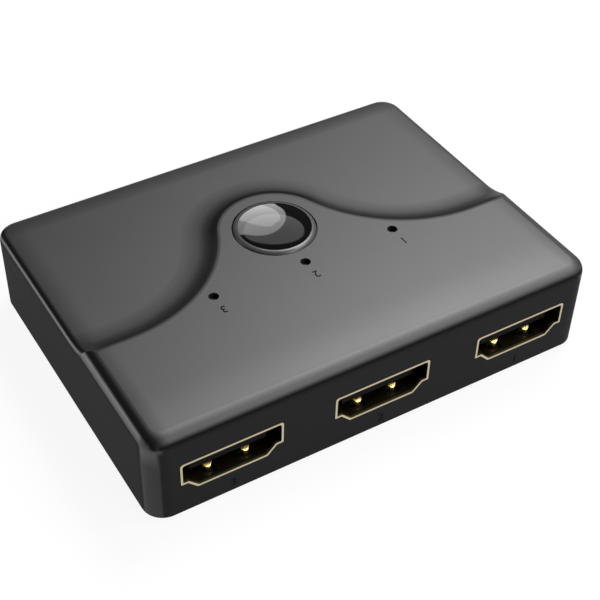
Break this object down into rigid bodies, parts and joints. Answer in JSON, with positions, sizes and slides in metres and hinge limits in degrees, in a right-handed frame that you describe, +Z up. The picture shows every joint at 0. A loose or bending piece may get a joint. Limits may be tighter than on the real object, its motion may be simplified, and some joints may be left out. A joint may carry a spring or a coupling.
{
  "type": "hdmi switch box",
  "caption": "Flat black video switch box with a row of input sockets in front, an output socket behind, a wave-stepped top, a round select button and small status lights.",
  "frame": {"origin": "middle of the footprint, on the plane that the feet stand on", "axes": "+Z up, -Y out of the input sockets, +X to the right when looking at the inputs"},
  "size_m": [0.0676, 0.0498, 0.0157],
  "materials": {
    "cover_plastic": "fine satin texture",
    "base_plastic": "fine satin texture",
    "screw_steel": "zinc plated",
    "foot_rubber": "matte",
    "board": "solder mask",
    "chip": "moulded",
    "ceramic": "fired",
    "tin": "tinned",
    "plunger_plastic": "moulded",
    "shell_plating": "pale gold plating",
    "insulator": "moulded",
    "contact_gold": "gold flash",
    "light_body": "moulded",
    "light_guide": "clear moulded",
    "button_plastic": "satin",
    "ring_grey": "satin grey",
    "lens_gloss": "polished"
  },
  "bodies": {
    "case": {"top_cover": "cover_plastic", "base_plate": "base_plastic", "cover_screws": "screw_steel", "main_board": "board", "switch_chip": "chip", "regulator": "chip", "surge_arrays": "chip", "capacitors": "ceramic", "resistors": "chip", "tact_base": "chip", "tact_plate": "tin", "tact_legs": "tin", "snap_dome": "tin", "foot_1": "foot_rubber", "foot_2": "foot_rubber", "foot_3": "foot_rubber", "foot_4": "foot_rubber", "input_1_shell": "shell_plating", "input_1_insulator": "insulator", "input_1_contacts": "contact_gold", "input_2_shell": "shell_plating", "input_2_insulator": "insulator", "input_2_contacts": "contact_gold", "input_3_shell": "shell_plating", "input_3_insulator": "insulator", "input_3_contacts": "contact_gold", "output_shell": "shell_plating", "output_insulator": "insulator", "output_contacts": "contact_gold", "light_1": "light_body", "light_pipe_1": "light_guide", "light_2": "light_body", "light_pipe_2": "light_guide", "light_3": "light_body", "light_pipe_3": "light_guide"},
    "button": {"button_cap": "button_plastic", "button_ring": "ring_grey", "button_lens": "lens_gloss"},
    "plunger": {"tact_plunger": "plunger_plastic"}
  },
  "joints": [
    {"name": "button_press", "type": "slide", "parent": "case", "child": "button", "axis": [0, 0, -1], "range_m": [0, 0.00025], "stiffness_N_per_m": 4000},
    {"name": "plunger_press", "type": "slide", "parent": "case", "child": "plunger", "axis": [0, 0, -1], "range_m": [0, 0.00025], "deforming": ["snap_dome"]}
  ],
  "couplings": [
    {"joint": "plunger_press", "follows": "button_press", "ratio": 1}
  ]
}
